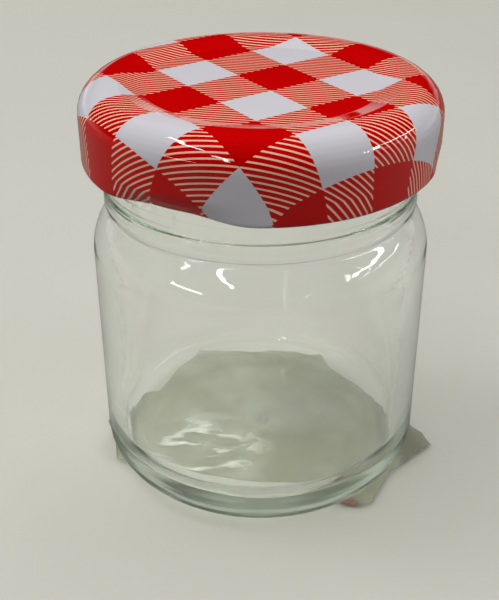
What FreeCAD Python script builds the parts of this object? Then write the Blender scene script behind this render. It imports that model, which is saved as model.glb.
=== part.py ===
"""Small twist-off glass jar with tinplate lid, the lid's sealing ring, and a clear film stuck under the base.

Millimetres. The origin is on the jar's axis at the surface it stands on, with +Z up and -Y to the front.
Azimuths are measured from the front, positive towards +X.
"""

import FreeCAD, Part
import math
import os

import Sketcher

SHEET = "Dims"
LUG_COUNT = 3
FULL_TURN = 360.0
QUARTER_TURN = 90.0
MM3_PER_CM3 = 1000.0

DIMENSIONS = [
    # film under the base
    ("film_thick", 0.15, "clear film between the base and the table"),
    ("film_frame", 30.0, "distance of the film sketch's corner from the jar's axis, along X and Y"),
    # glass body, outside
    ("body_radius", 22.4, "outer radius of the straight wall"),
    ("heel_fillet", 5.5, "outer rounding from the wall to the base"),
    ("push_up", 1.4, "how far the middle of the underside is pushed up"),
    ("bearing_radius", 15.9, "inner edge of the ring the jar stands on"),
    ("bearing_fillet", 1.0, "rounding of that edge"),
    ("shoulder_corner", 36.2, "height where the wall's line and the shoulder's line meet"),
    ("shoulder_fillet", 8.4, "outer rounding of the shoulder"),
    ("neck_radius", 19.95, "outer radius of the neck below its ring, and of the finish inside the lid"),
    ("neck_foot", 39.4, "height where the shoulder meets the neck"),
    ("neck_foot_fillet", 0.7, "hollow rounding there"),
    ("ring_radius", 20.55, "outer radius of the neck ring"),
    ("ring_low", 40.35, "height of the neck ring's lower edge"),
    ("ring_high", 42.65, "height of the neck ring's upper edge"),
    ("ring_slope", 0.4, "height of the ring's sloping lower edge"),
    ("collar_radius", 20.3, "outer radius of the collar between the neck ring and the lid"),
    ("collar_step", 0.15, "height of the step from the neck ring to the collar"),
    ("collar_high", 46.1, "height of the collar's top"),
    ("collar_slope", 0.5, "height of the slope from the collar to the finish"),
    ("ring_fillet", 0.3, "rounding of the ring's edges"),
    ("mouth_top", 54.9, "height of the rim that the lid seals on"),
    ("mouth_fillet", 1.0, "rounding of that rim"),
    # glass body, inside
    ("wall_thick", 2.3, "thickness of the straight wall"),
    ("mouth_radius", 17.4, "inner radius of the mouth"),
    ("inner_neck_low", 39.6, "height where the mouth starts to widen"),
    ("inner_neck_fillet", 3.0, "rounding there"),
    ("inner_shoulder_low", 34.8, "height where the inner shoulder's line meets the wall's"),
    ("inner_shoulder_fillet", 6.0, "rounding there"),
    ("floor_low", 3.9, "height of the inner floor at its edge"),
    ("floor_high", 4.7, "height of the inner floor in the middle"),
    ("floor_fillet", 4.2, "inner rounding from the wall to the floor"),
    # ribs on the finish
    ("bead_low", 43.3, "height of the lower edge of the part beads"),
    ("bead_high", 45.6, "height of their upper edge"),
    ("bead_fillet", 0.3, "rounding of their outer edges"),
    ("bead_root", 1.0, "how deep a rib or bead is rooted in the wall"),
    ("bead_azimuth", 17.0, "azimuth where the first part bead starts, in degrees"),
    ("bead_sweep", 74.0, "angle that each part bead covers, in degrees"),
    ("rib_radius", 0.62, "half thickness of a thread rib"),
    ("rib_height", 48.0, "height of a thread rib's centre at its low end"),
    ("rib_rise", 2.1, "how far it climbs"),
    ("rib_pitch", 8.0, "climb over a full turn"),
    # lid
    ("lid_radius", 23.0, "outer radius of the lid"),
    ("lid_low", 45.95, "height of the lid's lower edge"),
    ("lid_top", 55.85, "height of the lid's top"),
    ("lid_fillet", 3.6, "outer rounding from skirt to top"),
    ("sheet_thick", 0.25, "thickness of the tinplate"),
    ("panel_radius", 15.0, "inner edge of the slope down to the middle panel"),
    ("panel_step_width", 2.8, "width of that slope"),
    ("panel_depth", 0.7, "depth of the middle panel below the rim"),
    ("panel_fillet", 1.5, "rounding of the slope's edges"),
    ("curl_size", 1.4, "width and height of the inward curl along the lower edge"),
    ("curl_fillet", 0.67, "rounding of the curl"),
    ("lug_radius", 20.35, "inner radius of a lug"),
    ("lug_height", 1.25, "height of a lug's grip"),
    ("lug_backing", 2.35, "height of the pressed area behind a lug"),
    ("lug_press", 1.0, "how far the lower edge is pressed in at a lug"),
    ("lug_azimuth", -28.0, "azimuth of the middle of the first lug, in degrees"),
    ("lug_sweep", 30.0, "angle that a lug covers, in degrees"),
    # sealing ring in the lid
    ("seal_inner", 16.9, "inner radius of the sealing ring"),
    ("seal_outer", 19.4, "outer radius of the sealing ring"),
    ("seal_dip", 0.25, "how far the sealing ring's upper side dips with the lid"),
]

# Corners of the film, anticlockwise from the front left: distance right of the jar's axis, and behind it.
FILM_CORNERS = [
    (-20.9, -7.4),
    (13.4, -17.0),
    (15.6, -16.4),
    (18.4, -10.6),
    (25.6, -3.4),
    (20.2, 7.0),
    (12.4, 14.5),
    (11.5, 19.6),
    (-10.5, 20.6),
    (-17.5, 7.0),
    (-21.0, 6.5),
    (-23.4, 2.4),
    (-21.7, -2.1),
]


class Size:
    """A length or angle: its value, and the expression over the spreadsheet that gives it."""

    def __init__(self, value, text):
        self.value = value
        self.text = text

    def combined(self, other, sign):
        if not isinstance(other, Size):
            other = Size(float(other), repr(float(other)))
        value = self.value + other.value if sign == "+" else self.value - other.value
        return Size(value, f"({self.text} {sign} {other.text})")

    def __add__(self, other):
        return self.combined(other, "+")

    def __sub__(self, other):
        return self.combined(other, "-")

    def times(self, factor):
        return Size(self.value * factor, f"({self.text} * {factor!r})")


def make_sheet(doc):
    """The spreadsheet of driving dimensions, and the same dimensions as Size objects by name."""
    sheet = doc.addObject("Spreadsheet::Sheet", SHEET)
    sizes = {}
    for row, (alias, value, meaning) in enumerate(DIMENSIONS, start=1):
        sheet.set(f"A{row}", meaning)
        sheet.set(f"B{row}", repr(value))
        sheet.setAlias(f"B{row}", alias)
        sizes[alias] = Size(value, f"{SHEET}.{alias}")
    doc.recompute()
    return sizes


def new_body(doc, label):
    body = doc.addObject("PartDesign::Body", label + "_body")
    body.Label = label
    return body


def new_sketch(body, name, plane, offset=None):
    """A sketch on one of the body's origin planes, moved in that plane's frame by offset."""
    sketch = body.newObject("Sketcher::SketchObject", name)
    origin_plane = [f for f in body.Origin.OriginFeatures if f.Role == plane][0]
    sketch.AttachmentSupport = [(origin_plane, "")]
    sketch.MapMode = "FlatFace"
    if offset is not None:
        sketch.AttachmentOffset = offset
    return sketch


def bind(sketch, constraint, size, name):
    """Adds a dimensional constraint and binds it to the spreadsheet."""
    index = sketch.addConstraint(constraint)
    sketch.renameConstraint(index, name)
    sketch.setExpression(f"Constraints.{name}", size.text)


def pin_point(sketch, geometry, position, corner, name):
    """Places a point at a corner's two coordinates. A first coordinate of None lies on the vertical axis."""
    across, up = corner
    if across is None:
        sketch.addConstraint(Sketcher.Constraint("PointOnObject", geometry, position, -2))
    else:
        constraint = Sketcher.Constraint("DistanceX", -1, 1, geometry, position, across.value)
        bind(sketch, constraint, across, name + "_across")
    constraint = Sketcher.Constraint("DistanceY", -1, 1, geometry, position, up.value)
    bind(sketch, constraint, up, name + "_up")


def tangent_points(before, corner, after, radius):
    """Where a rounding of that radius leaves the two edges of a corner, and its middle point."""
    back = (before - corner).normalize()
    forth = (after - corner).normalize()
    half = math.acos(max(-1.0, min(1.0, back.dot(forth)))) / 2
    reach = radius / math.tan(half)
    bisector = (back + forth).normalize()
    centre = corner + bisector * (radius / math.sin(half))
    return corner + back * reach, centre - bisector * radius, corner + forth * reach


def draw_outline(sketch, corners):
    """Draws a closed outline. Each corner is (name, across, up, rounding), with None for a sharp corner."""
    count = len(corners)
    points = []
    for _, across, up, _ in corners:
        points.append(FreeCAD.Vector(0 if across is None else across.value, up.value, 0))
    starts, ends, middles = [], [], []
    for i, (_, _, _, rounding) in enumerate(corners):
        if rounding is None:
            starts.append(points[i])
            ends.append(points[i])
            middles.append(None)
        else:
            following = points[(i + 1) % count]
            into, middle, out = tangent_points(points[i - 1], points[i], following, rounding.value)
            ends.append(into)
            middles.append(middle)
            starts.append(out)
    lines = []
    for i in range(count):
        lines.append(sketch.addGeometry(Part.LineSegment(starts[i], ends[(i + 1) % count]), False))
    for i, (name, across, up, rounding) in enumerate(corners):
        line_in, line_out = lines[i - 1], lines[i]
        if rounding is None:
            sketch.addConstraint(Sketcher.Constraint("Coincident", line_in, 2, line_out, 1))
            pin_point(sketch, line_out, 1, (across, up), name)
            continue
        curve = Part.Arc(ends[i], middles[i], starts[i])
        arc = sketch.addGeometry(curve, False)
        # A sketch keeps every arc anticlockwise, so its first end may be either of the two.
        first = sketch.getPoint(arc, 1)
        starts_at_end = first.distanceToPoint(ends[i]) < first.distanceToPoint(starts[i])
        at_in, at_out = (1, 2) if starts_at_end else (2, 1)
        sketch.addConstraint(Sketcher.Constraint("Tangent", line_in, 2, arc, at_in))
        sketch.addConstraint(Sketcher.Constraint("Tangent", line_out, 1, arc, at_out))
        bind(sketch, Sketcher.Constraint("Radius", arc, rounding.value), rounding, name + "_rounding")
        corner_point = sketch.addGeometry(Part.Point(points[i]), True)
        sketch.addConstraint(Sketcher.Constraint("PointOnObject", corner_point, 1, line_in))
        sketch.addConstraint(Sketcher.Constraint("PointOnObject", corner_point, 1, line_out))
        pin_point(sketch, corner_point, 1, (across, up), name)


def revolve(body, name, sketch, angle=None, cut=False):
    """Revolves a sketch about its vertical axis: a full turn, or an angle bound to the spreadsheet."""
    kind = "PartDesign::Groove" if cut else "PartDesign::Revolution"
    feature = body.newObject(kind, name)
    feature.Profile = sketch
    feature.ReferenceAxis = (sketch, ["V_Axis"])
    feature.Angle = FULL_TURN
    if angle is not None:
        feature.Angle = angle.value
        feature.setExpression("Angle", angle.text)
        feature.Midplane = True
    sketch.Visibility = False
    return feature


def turned_sketch(body, name, azimuth):
    """A sketch on an upright plane through the jar's axis, reaching out towards an azimuth."""
    angle = azimuth - QUARTER_TURN
    turn = FreeCAD.Rotation(FreeCAD.Vector(0, 1, 0), angle.value)
    sketch = new_sketch(body, name, "XZ_Plane", FreeCAD.Placement(FreeCAD.Vector(), turn))
    sketch.setExpression("AttachmentOffset.Rotation.Angle", angle.text)
    return sketch


def pattern_of_three(doc, body, name, features):
    """Repeats features evenly round the jar's axis."""
    doc.recompute()
    pattern = body.newObject("PartDesign::PolarPattern", name)
    pattern.Originals = features
    vertical = [f for f in body.Origin.OriginFeatures if f.Role == "Z_Axis"][0]
    pattern.Axis = (vertical, [""])
    pattern.Angle = FULL_TURN
    pattern.Occurrences = LUG_COUNT
    body.Tip = pattern
    return pattern


def glass_outline(d):
    """Half section of the jar: up the outside from the middle of the underside, and down the inside."""
    base = d["film_thick"]
    inner_radius = d["body_radius"] - d["wall_thick"]
    return [
        ("push_up", None, base + d["push_up"], None),
        ("bearing", d["bearing_radius"], base, d["bearing_fillet"]),
        ("heel", d["body_radius"], base, d["heel_fillet"]),
        ("shoulder", d["body_radius"], d["shoulder_corner"], d["shoulder_fillet"]),
        ("neck_foot", d["neck_radius"], d["neck_foot"], d["neck_foot_fillet"]),
        ("ring_under", d["neck_radius"], d["ring_low"] - d["ring_slope"], None),
        ("ring_low", d["ring_radius"], d["ring_low"], d["ring_fillet"]),
        ("ring_high", d["ring_radius"], d["ring_high"], d["ring_fillet"]),
        ("collar_low", d["collar_radius"], d["ring_high"] + d["collar_step"], None),
        ("collar_high", d["collar_radius"], d["collar_high"], None),
        ("finish_low", d["neck_radius"], d["collar_high"] + d["collar_slope"], None),
        ("mouth_outer", d["neck_radius"], d["mouth_top"], d["mouth_fillet"]),
        ("mouth_inner", d["mouth_radius"], d["mouth_top"], d["mouth_fillet"]),
        ("inner_neck", d["mouth_radius"], d["inner_neck_low"], d["inner_neck_fillet"]),
        ("inner_shoulder", inner_radius, d["inner_shoulder_low"], d["inner_shoulder_fillet"]),
        ("floor_edge", inner_radius, d["floor_low"], d["floor_fillet"]),
        ("floor_middle", None, d["floor_high"], None),
    ]


def make_glass_jar(doc, d):
    """Pressed glass jar, with three part beads below the lid and three thread ribs inside it."""
    body = new_body(doc, "glass_jar")
    outline = new_sketch(body, "GlassOutline", "XZ_Plane")
    draw_outline(outline, glass_outline(d))
    revolve(body, "GlassRevolution", outline)
    doc.recompute()

    bead_section = turned_sketch(body, "BeadSection", d["bead_azimuth"] + d["bead_sweep"].times(0.5))
    root = d["neck_radius"] - d["bead_root"]
    draw_outline(
        bead_section,
        [
            ("root_low", root, d["bead_low"], None),
            ("edge_low", d["ring_radius"], d["bead_low"], d["bead_fillet"]),
            ("edge_high", d["ring_radius"], d["bead_high"], d["bead_fillet"]),
            ("root_high", root, d["bead_high"], None),
        ],
    )
    bead = revolve(body, "PartBead", bead_section, d["bead_sweep"])
    doc.recompute()

    # The low end of a rib lies over the clockwise end of a lug, which slid in under it.
    rib_section = turned_sketch(body, "RibSection", d["lug_azimuth"] - d["lug_sweep"].times(0.5))
    centre = FreeCAD.Vector(d["neck_radius"].value, d["rib_height"].value, 0)
    round_section = Part.Circle(centre, FreeCAD.Vector(0, 0, 1), d["rib_radius"].value)
    circle = rib_section.addGeometry(round_section, False)
    thickness = Sketcher.Constraint("Radius", circle, d["rib_radius"].value)
    bind(rib_section, thickness, d["rib_radius"], "thickness")
    pin_point(rib_section, circle, 3, (d["neck_radius"], d["rib_height"]), "rib")
    rib = body.newObject("PartDesign::AdditiveHelix", "ThreadRib")
    rib.Profile = rib_section
    rib.ReferenceAxis = (rib_section, ["V_Axis"])
    rib.Mode = "pitch-height-angle"
    rib.setExpression("Pitch", d["rib_pitch"].text)
    rib.setExpression("Height", d["rib_rise"].text)
    rib_section.Visibility = False
    pattern_of_three(doc, body, "BeadsAndRibs", [bead, rib])
    return body


def lid_outline(d):
    """Half section of the lid: out along the top, down the skirt, round the curl and back inside."""
    top, sheet = d["lid_top"], d["sheet_thick"]
    step_outer = d["panel_radius"] + d["panel_step_width"]
    inside = d["lid_radius"] - sheet
    curl_inner = d["lid_radius"] - d["curl_size"]
    curl_top = d["lid_low"] + d["curl_size"]
    curl_rounding = d["curl_fillet"]
    return [
        ("panel_middle", None, top - d["panel_depth"], None),
        ("panel_edge", d["panel_radius"], top - d["panel_depth"], d["panel_fillet"]),
        ("step_edge", step_outer, top, d["panel_fillet"]),
        ("lid_edge", d["lid_radius"], top, d["lid_fillet"]),
        ("curl_outer", d["lid_radius"], d["lid_low"], curl_rounding),
        ("curl_inner", curl_inner, d["lid_low"], curl_rounding),
        ("curl_top", curl_inner, curl_top, curl_rounding),
        ("curl_end", inside, curl_top, None),
        ("inner_edge", inside, top - sheet, d["lid_fillet"] - sheet),
        ("inner_step", step_outer, top - sheet, d["panel_fillet"]),
        ("inner_panel", d["panel_radius"], top - d["panel_depth"] - sheet, d["panel_fillet"]),
        ("inner_middle", None, top - d["panel_depth"] - sheet, None),
    ]


def make_lid(doc, d):
    """Twist-off lid pressed from tinplate: stepped top, skirt, inward curl and three lugs."""
    body = new_body(doc, "lid")
    outline = new_sketch(body, "LidOutline", "XZ_Plane")
    draw_outline(outline, lid_outline(d))
    revolve(body, "LidRevolution", outline)
    doc.recompute()

    low = d["lid_low"]
    behind_skirt = d["lid_radius"] - d["sheet_thick"].times(0.5)
    lug_section = turned_sketch(body, "LugSection", d["lug_azimuth"])
    draw_outline(
        lug_section,
        [
            ("grip_low", d["lug_radius"], low, None),
            ("skirt_low", behind_skirt, low, None),
            ("skirt_high", behind_skirt, low + d["lug_backing"], None),
            ("backing_high", behind_skirt - d["lug_press"], low + d["lug_backing"], None),
            ("grip_foot", d["lid_radius"] - d["curl_size"], low + d["lug_height"], None),
            ("grip_high", d["lug_radius"], low + d["lug_height"], None),
        ],
    )
    lug = revolve(body, "Lug", lug_section, d["lug_sweep"])
    doc.recompute()

    press_section = turned_sketch(body, "PressSection", d["lug_azimuth"])
    outside = d["lid_radius"] + d["sheet_thick"]
    draw_outline(
        press_section,
        [
            ("press_deep", d["lid_radius"] - d["lug_press"], low - d["sheet_thick"], None),
            ("press_low", outside, low - d["sheet_thick"], None),
            ("press_high", outside, low + d["lug_backing"] - d["sheet_thick"], None),
        ],
    )
    press = revolve(body, "LugPress", press_section, d["lug_sweep"], cut=True)
    pattern_of_three(doc, body, "Lugs", [lug, press])
    return body


def make_seal(doc, d):
    """Ring of flowed-in sealing compound between the lid and the glass rim."""
    body = new_body(doc, "lid_seal")
    outline = new_sketch(body, "SealOutline", "XZ_Plane")
    low, high = d["mouth_top"], d["lid_top"] - d["sheet_thick"]
    draw_outline(
        outline,
        [
            ("inner_low", d["seal_inner"], low, None),
            ("outer_low", d["seal_outer"], low, None),
            ("outer_high", d["seal_outer"], high, None),
            ("slope_high", d["panel_radius"] + d["panel_step_width"], high, None),
            ("inner_high", d["seal_inner"], high - d["seal_dip"], None),
        ],
    )
    revolve(body, "SealRevolution", outline)
    return body


def make_film(doc, d):
    """Thin clear film stuck under the base, whose corners stand out beyond the glass."""
    body = new_body(doc, "base_film")
    frame = d["film_frame"].value
    offset = FreeCAD.Placement(FreeCAD.Vector(-frame, -frame, 0), FreeCAD.Rotation())
    outline = new_sketch(body, "FilmOutline", "XY_Plane", offset)
    corners = []
    for number, (right, behind) in enumerate(FILM_CORNERS, start=1):
        corners.append((f"corner_{number}", d["film_frame"] + right, d["film_frame"] + behind, None))
    draw_outline(outline, corners)
    pad = body.newObject("PartDesign::Pad", "FilmPad")
    pad.Profile = outline
    pad.setExpression("Length", d["film_thick"].text)
    return body


def stop_on_failure(doc):
    """Raises if any object of the document failed to compute."""
    for item in doc.Objects:
        if "Invalid" in item.State or "Error" in item.State:
            raise RuntimeError(f"{item.Label} failed: {item.State}")


def checked_shape(item):
    """A sub-part's shape, which has to be one valid solid."""
    shape = item.Shape
    if shape.isNull() or not shape.isValid() or len(shape.Solids) != 1:
        raise RuntimeError(f"{item.Label} isn't one valid solid")
    return shape


def main():
    doc = FreeCAD.newDocument("Jar")
    sizes = make_sheet(doc)
    parts = [make_glass_jar(doc, sizes), make_lid(doc, sizes), make_seal(doc, sizes), make_film(doc, sizes)]
    doc.recompute()
    stop_on_failure(doc)
    os.makedirs("parts", exist_ok=True)
    for item in parts:
        shape = checked_shape(item)
        box = shape.BoundBox
        volume = shape.Volume / MM3_PER_CM3
        sides = f"{box.XLength:.2f} x {box.YLength:.2f} x {box.ZLength:.2f} mm"
        print(f"{item.Label}: {volume:.3f} cm3, {sides}")
        shape.exportStep(f"parts/{item.Label}.step")


main()
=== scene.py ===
import math

import bmesh
import bpy
from bpy.props import FloatProperty, FloatVectorProperty, IntProperty, PointerProperty
from mathutils import Matrix, Vector, noise


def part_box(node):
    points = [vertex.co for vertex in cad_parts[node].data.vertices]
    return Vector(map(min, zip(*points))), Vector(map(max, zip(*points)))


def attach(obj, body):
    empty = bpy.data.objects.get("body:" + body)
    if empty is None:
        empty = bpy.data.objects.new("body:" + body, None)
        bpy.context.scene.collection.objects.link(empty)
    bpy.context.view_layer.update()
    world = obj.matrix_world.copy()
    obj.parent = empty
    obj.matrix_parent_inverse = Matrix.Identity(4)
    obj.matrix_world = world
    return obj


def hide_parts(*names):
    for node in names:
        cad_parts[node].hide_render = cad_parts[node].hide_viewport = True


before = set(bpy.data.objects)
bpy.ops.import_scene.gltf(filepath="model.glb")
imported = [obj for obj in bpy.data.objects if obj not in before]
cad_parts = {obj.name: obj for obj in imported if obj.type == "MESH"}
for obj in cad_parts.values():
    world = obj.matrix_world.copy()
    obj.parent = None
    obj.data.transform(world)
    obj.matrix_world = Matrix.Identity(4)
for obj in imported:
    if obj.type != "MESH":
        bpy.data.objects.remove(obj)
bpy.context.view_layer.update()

bl_info = {
    "name": "Small glass jar",
    "version": (1, 0, 0),
    "blender": (4, 5, 0),
    "location": "3D View > Sidebar > Jar",
    "description": "Builds a small twist-off glass jar with a gingham lid, and the table it stands on",
    "category": "Object",
}

MM = 0.001
BODY = "root"
LUGS = 3

# Sizes that more than one function keeps to, in millimetres.
BODY_RADIUS = 22.4
HEEL_RADIUS = 5.5
BASE_HEIGHT = 0.15
PUSH_UP = 1.4
PUSH_UP_RADIUS = 15.9
PANEL_DEPTH = 0.7
PANEL_RADIUS = 15.0
PANEL_RIM_RADIUS = 17.8
PANEL_ROUNDING = 1.5
CURL_SIZE = 1.4
SHEET_SPAN = 50


# ---------------------------------------------------------------- helpers

def linear(code):
    """An sRGB hex colour, such as '#c0392b', as linear RGBA."""
    channels = [int(code[i:i + 2], 16) / 255 for i in (1, 3, 5)]
    return [c / 12.92 if c <= 0.04045 else ((c + 0.055) / 1.055) ** 2.4 for c in channels] + [1.0]


def toned(rgba, red, green, blue):
    """The same colour with its channels multiplied."""
    return (rgba[0] * red, rgba[1] * green, rgba[2] * blue, 1)


def colour(name, code, description):
    """A colour setting whose default is an sRGB hex value."""
    return FloatVectorProperty(
        name=name, description=description, subtype="COLOR", size=4, min=0, max=1, default=linear(code)
    )


def length(name, millimetres, description):
    """A length setting whose default is given in millimetres."""
    return FloatProperty(
        name=name, description=description, unit="LENGTH", default=millimetres * MM, precision=5
    )


def angle_setting(name, degrees, description):
    """An angle setting whose default is given in degrees."""
    return FloatProperty(
        name=name, description=description, subtype="ANGLE", default=math.radians(degrees)
    )


def smoothstep(low, high, value):
    """Rises smoothly from 0 at low to 1 at high, or falls where low is the larger."""
    t = min(1.0, max(0.0, (value - low) / (high - low)))
    return t * t * (3 - 2 * t)


def angle_gap(a, b):
    """Smallest angle between two directions, in radians."""
    return abs((a - b + math.pi) % (2 * math.pi) - math.pi)


def rounded(corners, steps=8):
    """A polyline whose corners are (radius, height, rounding), each rounding in that many steps."""
    points = []
    for i, (r, z, rounding) in enumerate(corners):
        corner = Vector((r, z))
        if not rounding:
            points.append(corner)
            continue
        back = (Vector(corners[i - 1][:2]) - corner).normalized()
        forth = (Vector(corners[(i + 1) % len(corners)][:2]) - corner).normalized()
        half = back.angle(forth) / 2
        start = corner + back * rounding / math.tan(half)
        centre = corner + (back + forth).normalized() * rounding / math.sin(half)
        sweep = (start - centre).angle_signed(corner + forth * rounding / math.tan(half) - centre)
        for k in range(steps + 1):
            turn = -sweep * k / steps
            arm = start - centre
            points.append(centre + Vector((
                arm.x * math.cos(turn) - arm.y * math.sin(turn),
                arm.x * math.sin(turn) + arm.y * math.cos(turn),
            )))
    return points


def refined(points, step):
    """The same polyline, with every stretch longer than step divided evenly."""
    fine = [points[0]]
    for a, b in zip(points, points[1:]):
        count = max(1, math.ceil((b - a).length / step))
        fine += [a.lerp(b, (k + 1) / count) for k in range(count)]
    return fine


def lathe(profile, segments, shape=None, closed=True):
    """Turns a profile of (radius, height) points about +Z. shape(index, angle, point) may move one.

    Points on the axis become one vertex. The layer 'row' keeps the profile index of each face's first row.
    """
    bm = bmesh.new()
    rows = bm.faces.layers.int.new("row")
    rings = []
    for index, point in enumerate(profile):
        if point.x < 1e-7:
            rings.append([bm.verts.new((0, 0, point.y))] * segments)
            continue
        ring = []
        for k in range(segments):
            angle = 2 * math.pi * k / segments
            r, z = shape(index, angle, point) if shape else point
            ring.append(bm.verts.new((r * math.cos(angle), r * math.sin(angle), z)))
        rings.append(ring)
    count = len(rings) if closed and rings[0][0] is not rings[0][1] else len(rings) - 1
    for i in range(count):
        low, high = rings[i], rings[(i + 1) % len(rings)]
        for k in range(segments):
            n = (k + 1) % segments
            corners = [low[k], low[n], high[n], high[k]]
            corners = [v for j, v in enumerate(corners) if v is not corners[j - 1]]
            face = bm.faces.new(corners)
            face.smooth = True
            face[rows] = i
    bmesh.ops.recalc_face_normals(bm, faces=bm.faces)
    return bm


def finish_mesh(name, bm):
    """Writes the mesh and links an object of it to the scene."""
    mesh = bpy.data.meshes.new(name)
    bm.to_mesh(mesh)
    bm.free()
    piece = bpy.data.objects.new(name, mesh)
    bpy.context.scene.collection.objects.link(piece)
    return piece


def fit_in(piece, node, slot, *materials):
    """Makes a piece stand for a CAD node and gives it its materials."""
    for material in materials:
        piece.data.materials.append(material)
    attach(piece, BODY)
    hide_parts(node)


def add(tree, kind, settings=None, links=None):
    """Adds a shader node. links maps an input's name or index to a value or to another node's output.

    A colour Mix has its factor at 0 and its two colours at 6 and 7, a float Mix its two values at 2 and 3.
    """
    node = tree.nodes.new(kind)
    for key, value in (settings or {}).items():
        setattr(node, key, value)
    for key, value in (links or {}).items():
        if isinstance(value, bpy.types.NodeSocket):
            tree.links.new(value, node.inputs[key])
        else:
            node.inputs[key].default_value = value
    return node


def new_material(name):
    """An empty material, and its node tree."""
    material = bpy.data.materials.new(name)
    material.use_nodes = True
    material.node_tree.nodes.clear()
    return material, material.node_tree


# ---------------------------------------------------------------- settings

class JAR_PG_glass(bpy.types.PropertyGroup):
    """Sizes and colour of the glass."""

    body_radius: length("Body radius", BODY_RADIUS, "Outer radius of the straight wall")
    wall: length("Wall", 2.3, "Thickness of the straight wall")
    base_height: length("Base height", BASE_HEIGHT, "Height of the ring that the jar stands on")
    push_up: length("Push-up", PUSH_UP, "How far the middle of the underside is pushed up")
    neck_radius: length("Neck radius", 19.95, "Outer radius of the neck")
    ring_radius: length("Ring radius", 20.55, "Outer radius of the neck ring and the part beads")
    collar_radius: length("Collar radius", 20.3, "Outer radius of the collar below the lid")
    mouth_radius: length("Mouth radius", 17.4, "Inner radius of the mouth")
    mouth_top: length("Mouth top", 54.9, "Height of the rim that the lid seals on")
    unevenness: length("Unevenness", 0.12, "How far the blown inner wall strays from a true circle")
    segments: IntProperty(name="Segments", description="Steps around the jar", default=360, min=48)
    tint: colour("Tint", "#aacb9e", "Colour that the glass keeps where light goes a long way through it")
    tint_density: FloatProperty(
        name="Tint density", description="How quickly the glass takes its tint", default=15.0
    )


class JAR_PG_lid(bpy.types.PropertyGroup):
    """Sizes of the lid, and its print."""

    radius: length("Radius", 23.0, "Outer radius of the lid")
    low: length("Lower edge", 45.95, "Height of the lower edge")
    top: length("Top", 55.85, "Height of the top")
    sheet: length("Sheet", 0.25, "Thickness of the tinplate")
    lug_azimuth: angle_setting("Lug azimuth", -28, "Where the first lug is, from the front")
    lug_sweep: angle_setting("Lug sweep", 30, "Angle that a lug covers")
    segments: IntProperty(name="Segments", description="Steps around the lid", default=288, min=48)
    red: colour("Red", "#c40203", "Red ink")
    white: colour("White", "#cbc8cf", "White base coat, where nothing is printed on it")
    cream: colour("Cream", "#eec0a6", "Gaps between the fine red lines")
    lacquer: colour("Lacquer", "#dcdace", "Enamel on the inside of the lid")


class JAR_PG_trim(bpy.types.PropertyGroup):
    """The sealing ring, the film and the table."""

    seal: colour("Sealing ring", "#cfcbbd", "Sealing compound flowed into the lid")
    film: colour("Film", "#b3b59c", "Clear film stuck under the base")
    # A painted highlight: the near-white laid on the crests of the creases at the film's left front.
    crease_highlight: colour("Highlighted film", "#fffffa", "Film highlighted where it is creased hardest")
    # A painted shadow: the grey laid on the film's outer corners at both sides.
    corner_shadow: colour("Painted shadow", "#6f6c63", "Dust on the film's outer corners")
    stain: colour("Stain", "#8a5b4f", "Brown stain on the film")
    film_thickness: length("Film thickness", 0.05, "Thickness of the film")
    table: colour("Table", "#c3c2b9", "Table top")


# ---------------------------------------------------------------- glass

def glass_profile(s):
    """Half section of the jar, up the outside and down the inside, and its last outside point's index."""
    base = s.base_height
    inner = s.body_radius - s.wall
    outside = [
        (0, base + s.push_up, 0),
        (PUSH_UP_RADIUS * MM, base, 1.0 * MM),
        (s.body_radius, base, HEEL_RADIUS * MM),
        (s.body_radius, 36.2 * MM, 8.4 * MM),
        (s.neck_radius, 39.4 * MM, 0.7 * MM),
        (s.neck_radius, 39.95 * MM, 0),
        (s.ring_radius, 40.35 * MM, 0.3 * MM),
        (s.ring_radius, 42.65 * MM, 0.3 * MM),
        (s.collar_radius, 42.8 * MM, 0),
        (s.collar_radius, 46.1 * MM, 0),
        (s.neck_radius, 46.6 * MM, 0),
        (s.neck_radius, s.mouth_top, 1.0 * MM),
    ]
    inside = [
        (s.mouth_radius, s.mouth_top, 1.0 * MM),
        (s.mouth_radius, 39.6 * MM, 3.0 * MM),
        (inner, 34.8 * MM, 6.0 * MM),
        (inner, 3.9 * MM, 4.2 * MM),
        (0, 4.7 * MM, 0),
    ]
    points = refined(rounded(outside + inside), 0.3 * MM)
    turn = max(range(len(points)), key=lambda k: (points[k].y, points[k].x))
    return points, turn


def rib_bump(s, azimuth, height):
    """How far a thread rib or part bead stands out of the neck there."""
    lead = 8.0 * MM
    rib_size = 0.62 * MM
    rib_sweep = math.radians(94.5)
    run_out = math.radians(4)
    bump = 0.0
    for k in range(LUGS):
        gap = angle_gap(azimuth, math.radians(54 + 120 * k))
        window = 1 - smoothstep(math.radians(36.4), math.radians(37.6), gap)
        foot = smoothstep(43.3 * MM, 43.7 * MM, height)
        head = 1 - smoothstep(45.2 * MM, 45.6 * MM, height)
        bump = max(bump, (s.ring_radius - s.collar_radius) * window * (foot * head))

        along = (azimuth - math.radians(-43 + 120 * k)) % (2 * math.pi)
        if along < rib_sweep:
            centre = 48.0 * MM + lead * along / (2 * math.pi)
            size = rib_size * smoothstep(0, run_out, along) * smoothstep(0, run_out, rib_sweep - along)
            off = abs(height - centre)
            if off < size:
                bump = max(bump, math.sqrt(size * size - off * off))
    return bump


def glass_shape(s, turn):
    """Adds the ribs, part beads and the unevenness of blown glass to the turned jar."""
    wave_size = 11 * MM
    even_above = 38 * MM
    floor_below = 5 * MM

    def shape(index, angle, point):
        r, z = point
        if index <= turn:
            if 43 * MM < z < 52 * MM:
                r += rib_bump(s, angle + math.pi / 2, z)
            return r, z
        if z > even_above:
            return r, z
        at = Vector((r * math.cos(angle), r * math.sin(angle), z)) / wave_size
        wave = noise.noise(at)
        if r < s.body_radius - s.wall - 4 * MM or z < floor_below:
            return r, z + 1.6 * s.unevenness * wave
        fade = smoothstep(even_above, 34 * MM, z)
        return r + s.unevenness * wave * fade, z
    return shape


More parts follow.
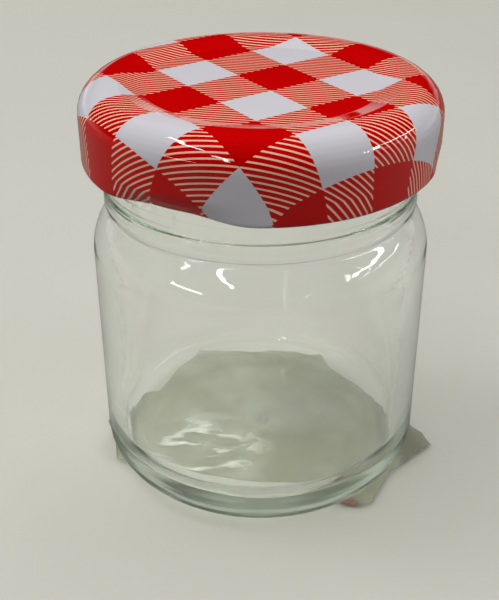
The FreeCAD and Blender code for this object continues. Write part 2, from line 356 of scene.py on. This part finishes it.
def flint_glass(s):
    """Soda-lime flint glass, blown in an iron mould and fire polished.

    Clear and wet-looking, with a green cast where the eye looks along the wall, a faint ripple, a ring of
    stipple dots on the heel where it rides on the conveyor, and a slightly matt heel below them.
    """
    material, tree = new_material("Soda-lime glass, blow moulded")
    place = add(tree, "ShaderNodeTexCoord")
    ripple = add(tree, "ShaderNodeTexNoise", None,
                 {"Vector": place.outputs["Object"], "Scale": 1 / (9 * MM), "Detail": 1.5})
    orange = add(tree, "ShaderNodeTexNoise", None,
                 {"Vector": place.outputs["Object"], "Scale": 1 / (1.6 * MM), "Detail": 1.0})
    waves = add(tree, "ShaderNodeMath", {"operation": "MULTIPLY_ADD"},
                {0: orange.outputs["Fac"], 1: 0.06, 2: ripple.outputs["Fac"]})

    # 74 dots about 1.8 mm apart round the heel, 1.9 mm above the table.
    dots = 74
    pitch = 1.75 * MM
    axes = add(tree, "ShaderNodeSeparateXYZ", None, {0: place.outputs["Object"]})
    angle = add(tree, "ShaderNodeMath", {"operation": "ARCTAN2"},
                {0: axes.outputs["Y"], 1: axes.outputs["X"]})
    turns = add(tree, "ShaderNodeMath", {"operation": "MULTIPLY"},
                {0: angle.outputs[0], 1: dots / (2 * math.pi)})
    across = add(tree, "ShaderNodeMath", {"operation": "PINGPONG"}, {0: turns.outputs[0], 1: 0.5})
    rise = add(tree, "ShaderNodeMath", {"operation": "SUBTRACT"}, {0: axes.outputs["Z"], 1: 1.9 * MM})
    upward = add(tree, "ShaderNodeMath", {"operation": "MULTIPLY"}, {0: rise.outputs[0], 1: 1 / pitch})
    spot = add(tree, "ShaderNodeCombineXYZ", None, {0: across.outputs[0], 1: upward.outputs[0]})
    reach = add(tree, "ShaderNodeVectorMath", {"operation": "LENGTH"}, {0: spot.outputs[0]})
    dot = add(tree, "ShaderNodeMapRange", {"interpolation_type": "SMOOTHSTEP"},
              {"Value": reach.outputs["Value"], "From Min": 0.12, "From Max": 0.3, "To Min": 1.0,
               "To Max": 0.0})
    ripples = add(tree, "ShaderNodeBump", None,
                  {"Height": waves.outputs[0], "Strength": 0.25, "Distance": 0.12 * MM})
    bump = add(tree, "ShaderNodeBump", None,
               {"Height": dot.outputs[0], "Strength": 1.0, "Distance": 0.035 * MM,
                "Normal": ripples.outputs[0]})

    # The heel and the bearing ring are blasted in the mould, and blur what shows through them.
    blast = add(tree, "ShaderNodeMapRange", {"interpolation_type": "SMOOTHSTEP"},
                {"Value": axes.outputs["Z"], "From Min": 2.2 * MM, "From Max": 4.5 * MM, "To Min": 0.14,
                 "To Max": 0.0})
    glass = add(tree, "ShaderNodeBsdfPrincipled", None, {
        "Base Color": linear("#ffffff"), "Roughness": blast.outputs[0], "IOR": 1.52,
        "Transmission Weight": 1.0, "Normal": bump.outputs[0],
    })
    tint = add(tree, "ShaderNodeVolumeAbsorption", None,
               {"Color": tuple(s.tint), "Density": s.tint_density})
    add(tree, "ShaderNodeOutputMaterial", None, {"Surface": glass.outputs[0], "Volume": tint.outputs[0]})
    return material


class JAR_OT_glass(bpy.types.Operator):
    """Blow the glass jar"""

    bl_idname = "jar.glass"
    bl_label = "Glass jar"

    def execute(self, context):
        s = context.scene.jar_glass
        profile, turn = glass_profile(s)
        jar = finish_mesh("glass_jar_blown", lathe(profile, s.segments, glass_shape(s, turn)))
        fit_in(jar, "glass_jar", "flint_glass", flint_glass(s))
        # Light goes through the glass to what is behind it.
        jar.visible_shadow = False

        # A thin sleeve that only shadow rays meet gives the jar the light shadow of real glass.
        sleeve_profile = [Vector(at) * MM for at in ((21.5, 1.0), (22.2, 6.0), (22.2, 34.0), (19.5, 41.0))]
        sleeve = finish_mesh("glass_shadow", lathe(sleeve_profile, 96, closed=False))
        material, tree = new_material("Light shadow of clear glass")
        veil = add(tree, "ShaderNodeBsdfTransparent", None, {"Color": linear("#dcdfd9")})
        add(tree, "ShaderNodeOutputMaterial", None, {"Surface": veil.outputs[0]})
        sleeve.data.materials.append(material)
        for ray in ("camera", "diffuse", "glossy", "transmission", "volume_scatter"):
            setattr(sleeve, "visible_" + ray, False)
        return {"FINISHED"}


# ---------------------------------------------------------------- lid

def lid_profile(s):
    """Half section of the lid, out along the top and back along the inside, and where its print ends."""
    inside = s.radius - s.sheet
    curl = s.radius - CURL_SIZE * MM
    curl_rounding = 0.67 * MM
    panel = s.top - PANEL_DEPTH * MM
    outer = [
        (0, panel, 0),
        (PANEL_RADIUS * MM, panel, PANEL_ROUNDING * MM),
        (PANEL_RIM_RADIUS * MM, s.top, PANEL_ROUNDING * MM),
        (s.radius, s.top, 3.6 * MM),
        (s.radius, s.low, curl_rounding),
        (curl, s.low, curl_rounding),
        (curl, s.low + CURL_SIZE * MM, curl_rounding),
        (inside, s.low + CURL_SIZE * MM, 0),
        (inside, s.top - s.sheet, 3.35 * MM),
        (PANEL_RIM_RADIUS * MM, s.top - s.sheet, PANEL_ROUNDING * MM),
        (PANEL_RADIUS * MM, panel - s.sheet, PANEL_ROUNDING * MM),
        (0, panel - s.sheet, 0),
    ]
    points = refined(rounded(outer), 0.35 * MM)
    edge = next(k for k, p in enumerate(points) if p.y < s.low + 0.25 * MM)
    return points, edge


def lid_shape(s):
    """Presses the three lugs into the lower edge."""
    directions = [s.lug_azimuth + 2 * math.pi * k / LUGS for k in range(LUGS)]
    full = s.lug_sweep / 2 - math.radians(10)
    none = s.lug_sweep / 2 + math.radians(12)
    raised = 0.6 * MM

    def shape(index, angle, point):
        r, z = point
        low = smoothstep(s.low + 3.2 * MM, s.low + 0.3 * MM, z)
        if r < 21 * MM or low <= 0:
            return r, z
        gap = min(angle_gap(angle + math.pi / 2, direction) for direction in directions)
        press = low * (1 - smoothstep(full, none, gap))
        inward = 1.0 * MM + 0.35 * MM * (s.radius - r) / (CURL_SIZE * MM)
        return r - inward * press, z + raised * press * smoothstep(s.low + 2.4 * MM, s.low, z)
    return shape


def print_radii(profile):
    """Where each point of the profile was on the flat printed sheet.

    The skirt was drawn to one and a half times its length at its foot, so the print is longer there.
    """
    foot = 28.6 * MM
    before_drawing = 0.66
    radii = [0.0]
    for a, b in zip(profile, profile[1:]):
        share = before_drawing if radii[-1] > foot else 1.0
        radii.append(radii[-1] + share * (b - a).length)
    return radii


def printed_tinplate(s):
    """Tinplate with a white base coat, offset-printed gingham and clear gloss varnish, drawn to shape.

    Flat, dense ink under a hard gloss. The pattern stretches and bends where the sheet was drawn down into
    the skirt.
    """
    material, tree = new_material("Tinplate, printed and varnished")
    uv = add(tree, "ShaderNodeUVMap", {"uv_map": "print"})
    # The map holds the flat sheet's position, SHEET_SPAN to one unit and centred on 0.5. Here it is in mm.
    half = SHEET_SPAN / 2
    sheet = add(tree, "ShaderNodeVectorMath", {"operation": "MULTIPLY_ADD"},
                {0: uv.outputs[0], 1: (SHEET_SPAN, SHEET_SPAN, 0), 2: (-half, -half, 0)})
    # A check's diagonal is 10.5 mm, and the pattern is turned 10 degrees clockwise on the lid.
    diagonal = 10.48
    turned = add(tree, "ShaderNodeMapping", {"vector_type": "TEXTURE"}, {
        "Vector": sheet.outputs[0], "Location": (2.2, 1.89, 0), "Rotation": (0, 0, math.radians(-10)),
        "Scale": (diagonal, diagonal, 1),
    })
    diagonals = add(tree, "ShaderNodeSeparateXYZ", None, {0: turned.outputs[0]})
    parities = []
    for operation in ("ADD", "SUBTRACT"):
        cell = add(tree, "ShaderNodeMath", {"operation": operation},
                   {0: diagonals.outputs["Y"], 1: diagonals.outputs["X"]})
        whole = add(tree, "ShaderNodeMath", {"operation": "ROUND"}, {0: cell.outputs[0]})
        parity = add(tree, "ShaderNodeMath", {"operation": "FLOORED_MODULO"}, {0: whole.outputs[0], 1: 2.0})
        parities.append(parity)
    both = add(tree, "ShaderNodeMath", {"operation": "ADD"},
               {0: parities[0].outputs[0], 1: parities[1].outputs[0]})
    open_check = add(tree, "ShaderNodeMath", {"operation": "GREATER_THAN"}, {0: both.outputs[0], 1: 1.5})
    lined_check = add(tree, "ShaderNodeMath", {"operation": "COMPARE"},
                      {0: both.outputs[0], 1: 1.0, 2: 0.1})
    # Fifteen fine lines to a check's diagonal, 0.7 mm apart, one of them through its corners.
    line_count = 15.0
    gap_share = 0.155
    lines = add(tree, "ShaderNodeMath", {"operation": "MULTIPLY_ADD"},
                {0: diagonals.outputs["Y"], 1: line_count, 2: 0.5})
    wave = add(tree, "ShaderNodeMath", {"operation": "PINGPONG"}, {0: lines.outputs[0], 1: 0.5})
    gap = add(tree, "ShaderNodeMath", {"operation": "LESS_THAN"}, {0: wave.outputs[0], 1: gap_share})
    lined = add(tree, "ShaderNodeMath", {"operation": "MULTIPLY"},
                {0: gap.outputs[0], 1: lined_check.outputs[0]})

    place = add(tree, "ShaderNodeTexCoord")
    density = add(tree, "ShaderNodeTexNoise", None,
                  {"Vector": place.outputs["Object"], "Scale": 1 / (6 * MM), "Detail": 3.0})
    ink = add(tree, "ShaderNodeMix", {"data_type": "RGBA"},
              {0: density.outputs["Fac"], 6: tuple(s.red), 7: toned(s.red, 0.9, 1, 1)})
    red = add(tree, "ShaderNodeMix", {"data_type": "RGBA"},
              {0: lined.outputs[0], 6: ink.outputs[2], 7: tuple(s.cream)})
    pattern = add(tree, "ShaderNodeMix", {"data_type": "RGBA"},
                  {0: open_check.outputs[0], 6: red.outputs[2], 7: tuple(s.white)})

    paint = add(tree, "ShaderNodeBsdfPrincipled", None, {
        "Base Color": pattern.outputs[2], "Roughness": 0.3, "Specular IOR Level": 0.0,
        "Coat Weight": 1.0, "Coat Roughness": 0.03, "Coat IOR": 1.4,
    })
    add(tree, "ShaderNodeOutputMaterial", None, {"Surface": paint.outputs[0]})
    return material


def lacquered_tinplate(s):
    """Inside of the lid: tinplate under a white stoving enamel, rolled in at the curl.

    Pale, with a soft gloss, slightly clouded where the press tool worked it.
    """
    material, tree = new_material("Tinplate, white stove enamelled")
    place = add(tree, "ShaderNodeTexCoord")
    marks = add(tree, "ShaderNodeTexNoise", None,
                {"Vector": place.outputs["Object"], "Scale": 1 / (0.9 * MM), "Detail": 3.0})
    tone = add(tree, "ShaderNodeMix", {"data_type": "RGBA"},
               {0: marks.outputs["Fac"], 6: tuple(s.lacquer), 7: toned(s.lacquer, 0.9, 0.9, 0.86)})
    rough = add(tree, "ShaderNodeMapRange", None,
                {"Value": marks.outputs["Fac"], "To Min": 0.25, "To Max": 0.4})
    bump = add(tree, "ShaderNodeBump", None,
               {"Height": marks.outputs["Fac"], "Strength": 0.2, "Distance": 0.02 * MM})
    enamel = add(tree, "ShaderNodeBsdfPrincipled", None, {
        "Base Color": tone.outputs[2], "Roughness": rough.outputs[0], "IOR": 1.5, "Normal": bump.outputs[0],
    })
    add(tree, "ShaderNodeOutputMaterial", None, {"Surface": enamel.outputs[0]})
    return material


class JAR_OT_lid(bpy.types.Operator):
    """Draw the printed lid"""

    bl_idname = "jar.lid"
    bl_label = "Printed lid"

    def execute(self, context):
        s = context.scene.jar_lid
        profile, edge = lid_profile(s)
        bm = lathe(profile, s.segments, lid_shape(s), closed=False)
        rows = bm.faces.layers.int["row"]
        flat = bm.loops.layers.uv.new("print")
        radii = print_radii(profile)
        for face in bm.faces:
            row = face[rows]
            face.material_index = 0 if row < edge else 1
            for loop in face.loops:
                x, y, z = loop.vert.co
                r = math.hypot(x, y)
                near = min((row, row + 1), key=lambda k: abs(profile[k].y - z) + abs(profile[k].x - r))
                scale = radii[near] / MM / SHEET_SPAN / max(1e-9, r)
                loop[flat].uv = (0.5 + x * scale, 0.5 + y * scale)
        lid = finish_mesh("lid_printed", bm)
        fit_in(lid, "lid", "printed_tinplate", printed_tinplate(s), lacquered_tinplate(s))
        return {"FINISHED"}


# ---------------------------------------------------------------- seal and film

def sealing_compound(s):
    """Plastisol flowed into the lid and oven-cured: soft, off-white, waxy, with a faint ripple."""
    material, tree = new_material("Plastisol, flowed and cured")
    place = add(tree, "ShaderNodeTexCoord")
    flow = add(tree, "ShaderNodeTexNoise", None,
               {"Vector": place.outputs["Object"], "Scale": 1 / (2.5 * MM), "Detail": 2.0})
    tone = add(tree, "ShaderNodeMix", {"data_type": "RGBA"},
               {0: flow.outputs["Fac"], 6: tuple(s.seal), 7: toned(s.seal, 0.9, 0.9, 0.86)})
    bump = add(tree, "ShaderNodeBump", None,
               {"Height": flow.outputs["Fac"], "Strength": 0.3, "Distance": 0.05 * MM})
    soft = add(tree, "ShaderNodeBsdfPrincipled", None, {
        "Base Color": tone.outputs[2], "Roughness": 0.45, "IOR": 1.5, "Normal": bump.outputs[0],
    })
    add(tree, "ShaderNodeOutputMaterial", None, {"Surface": soft.outputs[0]})
    return material


class JAR_OT_seal(bpy.types.Operator):
    """Flow the sealing ring into the lid"""

    bl_idname = "jar.seal"
    bl_label = "Sealing ring"

    def execute(self, context):
        low, high = (corner[2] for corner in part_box("lid_seal"))
        inner, outer, edge = 16.9 * MM, 19.4 * MM, 0.2 * MM
        # Its top follows the lid's panel, which comes 0.25 mm down at the inner edge.
        outline = [
            (inner, high - 0.25 * MM, 0), (inner, low, edge), (outer, low, edge),
            (outer, high, 0), (PANEL_RIM_RADIUS * MM, high, 0),
        ]
        seal = finish_mesh("lid_seal_flowed", lathe(refined(rounded(outline), 0.5 * MM), 192))
        fit_in(seal, "lid_seal", "sealing_compound", sealing_compound(context.scene.jar_trim))
        return {"FINISHED"}


# Corners of the film in millimetres, from the front left one anticlockwise.
FILM_CORNERS = [
    (-20.9, -7.4), (13.4, -17.0), (15.6, -16.4), (18.4, -10.6), (25.6, -3.4), (20.2, 7.0), (12.4, 14.5),
    (11.5, 19.6), (-10.5, 20.6), (-17.5, 7.0), (-21.0, 6.5), (-23.4, 2.4), (-21.7, -2.1),
]


def room_under_glass(r):
    """Height of the glass above the table at a distance from the axis, up to the heel."""
    if r < PUSH_UP_RADIUS * MM:
        return BASE_HEIGHT * MM + PUSH_UP * MM * (1 - r / (PUSH_UP_RADIUS * MM))
    heel_start = (BODY_RADIUS - HEEL_RADIUS) * MM
    if r < heel_start:
        return BASE_HEIGHT * MM
    out = min(r, BODY_RADIUS * MM) - heel_start
    heel = HEEL_RADIUS * MM
    return BASE_HEIGHT * MM + heel - math.sqrt(max(0.0, heel ** 2 - out ** 2))


def film_height(x, y):
    """Height of the crumpled film's underside, with creases 8 mm apart and finer ones between them."""
    at = Vector((x, y, 0)) / (8 * MM)
    crease = 1 - 2.2 * abs(noise.noise(at + Vector((3.1, 0.4, 1.7))))
    fine = 1 - 2.2 * abs(noise.noise(at * 2.3 + Vector((0.6, 5.2, 0.3))))
    height = (0.8 * max(0.0, crease) + 0.25 * max(0.0, fine)) * MM
    room = 0.8 * room_under_glass(math.hypot(x, y))
    return 0.01 * MM + min(height, room - 0.04 * MM)


def crumpled_film(s):
    """Clear oriented polypropylene film, crumpled by hand, with a trace of adhesive.

    Clear to milky, with a grey-yellow cast, a painted highlight whitening the crests of long creases at its
    left front, a painted shadow greying its outer corners at both sides, and a brown stain at the front
    right.
    """
    material, tree = new_material("Polypropylene film, crumpled")
    place = add(tree, "ShaderNodeTexCoord")
    smear = add(tree, "ShaderNodeTexNoise", None,
                {"Vector": place.outputs["Object"], "Scale": 1 / (5 * MM), "Detail": 3.0})
    tone = add(tree, "ShaderNodeMix", {"data_type": "RGBA"},
               {0: smear.outputs["Fac"], 6: tuple(s.film), 7: toned(s.film, 0.7, 0.7, 0.6)})
    rough = add(tree, "ShaderNodeMapRange", None,
                {"Value": smear.outputs["Fac"], "To Min": 0.08, "To Max": 0.22})
    # Adhesive and trapped air make it milky in places, some 12 mm across.
    milk = add(tree, "ShaderNodeTexNoise", None,
               {"Vector": place.outputs["Object"], "Scale": 1 / (12 * MM), "Detail": 2.0})
    cover = add(tree, "ShaderNodeMapRange", {"interpolation_type": "SMOOTHSTEP"},
                {"Value": milk.outputs["Fac"], "From Min": 0.35, "From Max": 0.68, "To Min": 0.2,
                 "To Max": 0.46})
    # Long creases about 5 mm apart bump the surface. A painted highlight whitens their crests at the film's
    # left front.
    along = add(tree, "ShaderNodeMapping", None, {
        "Vector": place.outputs["Object"], "Rotation": (0, 0, math.radians(-40)), "Scale": (0.3, 1.0, 1.0),
    })
    fold = add(tree, "ShaderNodeTexNoise", None,
               {"Vector": along.outputs[0], "Scale": 1 / (5 * MM), "Detail": 5.0})
    ridge = add(tree, "ShaderNodeMath", {"operation": "PINGPONG"}, {0: fold.outputs["Fac"], 1: 0.5})
    bump = add(tree, "ShaderNodeBump", None,
               {"Height": ridge.outputs[0], "Strength": 1.0, "Distance": 2.0 * MM})
    crest = add(tree, "ShaderNodeMapRange", {"interpolation_type": "SMOOTHSTEP"},
                {"Value": ridge.outputs[0], "From Min": 0.42, "From Max": 0.5, "To Max": 0.8})
    away = add(tree, "ShaderNodeVectorMath", {"operation": "DISTANCE"},
               {0: place.outputs["Object"], 1: (-8 * MM, -6 * MM, 0)})
    highlight_place = add(tree, "ShaderNodeMapRange", {"interpolation_type": "SMOOTHSTEP"},
               {"Value": away.outputs["Value"], "From Min": 3 * MM, "From Max": 12 * MM, "To Min": 1.0,
                "To Max": 0.0})
    # Where the painted highlight goes: the crease crests near the left front.
    white = add(tree, "ShaderNodeMath", {"operation": "MULTIPLY"},
                {0: crest.outputs[0], 1: highlight_place.outputs[0]})
    with_highlights = add(tree, "ShaderNodeMix", {"data_type": "RGBA"},
                   {0: white.outputs[0], 6: tone.outputs[2], 7: tuple(s.crease_highlight)})
    opaque = add(tree, "ShaderNodeMath", {"operation": "MAXIMUM"},
                 {0: cover.outputs[0], 1: white.outputs[0]})
    # Painted shadow greys the corners that stand out from under the glass at both sides.
    axes = add(tree, "ShaderNodeSeparateXYZ", None, {0: place.outputs["Object"]})
    side = add(tree, "ShaderNodeMath", {"operation": "ABSOLUTE"}, {0: axes.outputs["X"]})
    corner_shadow = add(tree, "ShaderNodeMapRange", {"interpolation_type": "SMOOTHSTEP"},
               {"Value": side.outputs[0], "From Min": 18 * MM, "From Max": 22 * MM, "To Max": 0.55})
    corner_shadowed = add(tree, "ShaderNodeMix", {"data_type": "RGBA"},
                {0: corner_shadow.outputs[0], 6: with_highlights.outputs[2], 7: tuple(s.corner_shadow)})
    covered = add(tree, "ShaderNodeMath", {"operation": "MAXIMUM"},
                  {0: opaque.outputs[0], 1: corner_shadow.outputs[0]})
    # A brown stain 4 mm across, at the front right corner.
    near = add(tree, "ShaderNodeVectorMath", {"operation": "DISTANCE"},
               {0: place.outputs["Object"], 1: (12.4 * MM, -16.8 * MM, 0)})
    stain = add(tree, "ShaderNodeMapRange", {"interpolation_type": "SMOOTHSTEP"},
                {"Value": near.outputs["Value"], "From Min": 0.8 * MM, "From Max": 2.4 * MM,
                 "To Min": 0.85, "To Max": 0.0})
    stained = add(tree, "ShaderNodeMix", {"data_type": "RGBA"},
                  {0: stain.outputs[0], 6: corner_shadowed.outputs[2], 7: tuple(s.stain)})
    shown = add(tree, "ShaderNodeMath", {"operation": "MAXIMUM"},
                {0: covered.outputs[0], 1: stain.outputs[0]})
    film = add(tree, "ShaderNodeBsdfPrincipled", None, {
        "Base Color": stained.outputs[2], "Roughness": rough.outputs[0], "IOR": 1.5,
        "Alpha": shown.outputs[0], "Normal": bump.outputs[0],
    })
    add(tree, "ShaderNodeOutputMaterial", None, {"Surface": film.outputs[0]})
    return material


class JAR_OT_film(bpy.types.Operator):
    """Crumple the film under the base"""

    bl_idname = "jar.film"
    bl_label = "Film under the base"

    def execute(self, context):
        s = context.scene.jar_trim
        corners = [Vector((x, y)) * MM for x, y in FILM_CORNERS]
        border = refined(corners + corners[:1], 0.6 * MM)[:-1]
        rings = 56
        bm = bmesh.new()
        centre = bm.verts.new((0, 0, film_height(0, 0)))
        last = None
        for k in range(1, rings + 1):
            ring = []
            for point in border:
                x, y = point * (k / rings)
                ring.append(bm.verts.new((x, y, film_height(x, y))))
            for i in range(len(ring)):
                j = (i + 1) % len(ring)
                face = [centre, ring[i], ring[j]] if last is None else [last[i], ring[i], ring[j], last[j]]
                bm.faces.new(face).smooth = True
            last = ring
        film = finish_mesh("base_film_crumpled", bm)
        skin = film.modifiers.new("Thickness", "SOLIDIFY")
        skin.thickness = s.film_thickness
        skin.offset = 1
        fit_in(film, "base_film", "clear_film", crumpled_film(s))
        return {"FINISHED"}


# ---------------------------------------------------------------- stage

def table_top(s):
    """White laminate, pressed with a fine matt texture: even and pale, with the slightest cloudiness."""
    material, tree = new_material("Laminate, matt pressed")
    place = add(tree, "ShaderNodeTexCoord")
    cloud = add(tree, "ShaderNodeTexNoise", None,
                {"Vector": place.outputs["Object"], "Scale": 1 / (60 * MM), "Detail": 3.0})
    tone = add(tree, "ShaderNodeMix", {"data_type": "RGBA"},
               {0: cloud.outputs["Fac"], 6: tuple(s.table), 7: toned(s.table, 0.94, 0.94, 0.93)})
    # It shows pale to the eye and through glass, and lights the jar from below more dimly.
    path = add(tree, "ShaderNodeLightPath")
    seen = add(tree, "ShaderNodeMath", {"operation": "MAXIMUM"},
               {0: path.outputs["Is Camera Ray"], 1: path.outputs["Is Transmission Ray"]})
    shade = add(tree, "ShaderNodeMapRange", None,
                {"Value": seen.outputs[0], "To Min": 0.32, "To Max": 1.0})
    level = add(tree, "ShaderNodeVectorMath", {"operation": "SCALE"},
                {0: tone.outputs[2], "Scale": shade.outputs[0]})
    top = add(tree, "ShaderNodeBsdfPrincipled", None,
              {"Base Color": level.outputs[0], "Roughness": 0.55})
    add(tree, "ShaderNodeOutputMaterial", None, {"Surface": top.outputs[0]})
    return material


def lamp(name, place, size, strength, mirrored=True):
    """A rectangular lamp of (width, length) that faces straight down. strength is its radiance.

    Neither gloss nor glass shows a lamp that isn't mirrored. It only gives light.
    """
    data = bpy.data.lights.new(name, "AREA")
    data.shape = "RECTANGLE"
    data.size, data.size_y = size
    data.energy = strength * math.pi * size[0] * size[1]
    lamp_object = bpy.data.objects.new(name, data)
    lamp_object.location = place
    lamp_object.visible_glossy = mirrored
    lamp_object.visible_transmission = mirrored
    bpy.context.scene.collection.objects.link(lamp_object)
    return lamp_object


class JAR_OT_stage(bpy.types.Operator):
    """Set up the table, the room's light and the camera"""

    bl_idname = "jar.stage"
    bl_label = "Table, light and camera"

    def execute(self, context):
        scene = context.scene
        bm = bmesh.new()
        bmesh.ops.create_grid(bm, x_segments=2, y_segments=2, size=3.0)
        table = finish_mesh("table", bm)
        table.data.materials.append(table_top(scene.jar_trim))

        # A dim room, a little lighter behind. It shows as a pale backdrop to the eye and through glass, and
        # gloss mirrors only its horizon.
        world = bpy.data.worlds.new("Room")
        scene.world = world
        world.use_nodes = True
        tree = world.node_tree
        tree.nodes.clear()
        place = add(tree, "ShaderNodeTexCoord")
        axes = add(tree, "ShaderNodeSeparateXYZ", None, {0: place.outputs["Generated"]})
        level = add(tree, "ShaderNodeMapRange", {"interpolation_type": "SMOOTHSTEP"},
                    {"Value": axes.outputs["Y"], "From Min": -0.3, "From Max": 0.7, "To Min": 0.06,
                     "To Max": 0.6})
        path = add(tree, "ShaderNodeLightPath")
        horizon = add(tree, "ShaderNodeMapRange", {"interpolation_type": "SMOOTHSTEP"},
                      {"Value": axes.outputs["Z"], "From Min": 0.04, "From Max": 0.2, "To Min": 1.1,
                       "To Max": 0.0})
        mirrored = add(tree, "ShaderNodeMath", {"operation": "MULTIPLY"},
                       {0: level.outputs[0], 1: horizon.outputs[0]})
        dim = add(tree, "ShaderNodeMix", {"data_type": "FLOAT"},
                  {0: path.outputs["Is Glossy Ray"], 2: level.outputs[0], 3: mirrored.outputs[0]})
        seen = add(tree, "ShaderNodeMath", {"operation": "MAXIMUM"},
                   {0: path.outputs["Is Camera Ray"], 1: path.outputs["Is Transmission Ray"]})
        strength = add(tree, "ShaderNodeMix", {"data_type": "FLOAT"},
                       {0: seen.outputs[0], 2: dim.outputs[0], 3: 0.62})
        room = add(tree, "ShaderNodeBackground", None,
                   {"Color": linear("#fffefb"), "Strength": strength.outputs[0]})
        add(tree, "ShaderNodeOutputWorld", None, {"Surface": room.outputs[0]})

        # Rows of ceiling tubes run from front to back. The panels are only soft light and aren't mirrored.
        lamp("Tube near left", (-0.8, -0.2, 1.5), (0.07, 1.1), 38)
        lamp("Tube near left front", (-0.85, -1.85, 1.5), (0.12, 1.2), 26)
        lamp("Tube right", (3.5, -0.1, 1.5), (0.35, 3.2), 30)
        lamp("Tube far right", (5.7, 0.2, 1.5), (0.2, 4.0), 20)
        lamp("Tube right front", (3.6, -6.0, 1.5), (0.3, 1.2), 20)
        lamp("Tube far left", (-4.8, -4.5, 1.5), (0.6, 3.4), 20)
        lamp("Ceiling panel", (0.4, 0.1, 1.6), (1.8, 1.9), 1.15, mirrored=False)
        lamp("Side panel", (1.8, -0.2, 1.4), (0.8, 1.2), 1.3, mirrored=False)
        lamp("Back panel", (-1.3, 0.4, 0.8), (0.8, 0.8), 6.0, mirrored=False)

        data = bpy.data.cameras.new("Camera")
        data.sensor_width = 36
        data.lens = 60.56
        camera = bpy.data.objects.new("Camera", data)
        # It looks about 31 degrees down on the jar.
        forward = Vector((-0.01033, 0.86074, -0.5090))
        right = Vector((0.99995, 0.01047, -0.00258))
        upward = right.cross(forward)
        rotation = [[right[i], upward[i], -forward[i]] for i in range(3)]
        camera.matrix_world = Matrix.Translation((0, -0.122591, 0.095961)) @ Matrix(rotation).to_4x4()
        scene.collection.objects.link(camera)
        scene.camera = camera
        scene.view_settings.view_transform = "Standard"
        # Light runs to and fro many times inside thick glass before it leaves.
        scene.cycles.glossy_bounces = 16
        scene.cycles.transmission_bounces = 16
        scene.cycles.max_bounces = 20
        return {"FINISHED"}


# ---------------------------------------------------------------- panel and registration

class JAR_PT_panel(bpy.types.Panel):
    """Lists the jar's sizes and colours, and the operators that build it"""

    bl_idname = "JAR_PT_panel"
    bl_label = "Small glass jar"
    bl_space_type = "VIEW_3D"
    bl_region_type = "UI"
    bl_category = "Jar"

    def draw(self, context):
        for settings in (context.scene.jar_glass, context.scene.jar_lid, context.scene.jar_trim):
            box = self.layout.box()
            for name in settings.__annotations__:
                box.prop(settings, name)
        for operator in OPERATORS:
            self.layout.operator(operator.bl_idname)


OPERATORS = (JAR_OT_stage, JAR_OT_glass, JAR_OT_lid, JAR_OT_seal, JAR_OT_film)
CLASSES = (JAR_PG_glass, JAR_PG_lid, JAR_PG_trim, *OPERATORS, JAR_PT_panel)


def register():
    for cls in CLASSES:
        bpy.utils.register_class(cls)
    bpy.types.Scene.jar_glass = PointerProperty(type=JAR_PG_glass)
    bpy.types.Scene.jar_lid = PointerProperty(type=JAR_PG_lid)
    bpy.types.Scene.jar_trim = PointerProperty(type=JAR_PG_trim)


def unregister():
    del bpy.types.Scene.jar_trim, bpy.types.Scene.jar_lid, bpy.types.Scene.jar_glass
    for cls in reversed(CLASSES):
        bpy.utils.unregister_class(cls)


def main():
    register()
    bpy.ops.jar.stage()
    bpy.ops.jar.glass()
    bpy.ops.jar.lid()
    bpy.ops.jar.seal()
    bpy.ops.jar.film()


if __name__ == "__main__":
    main()
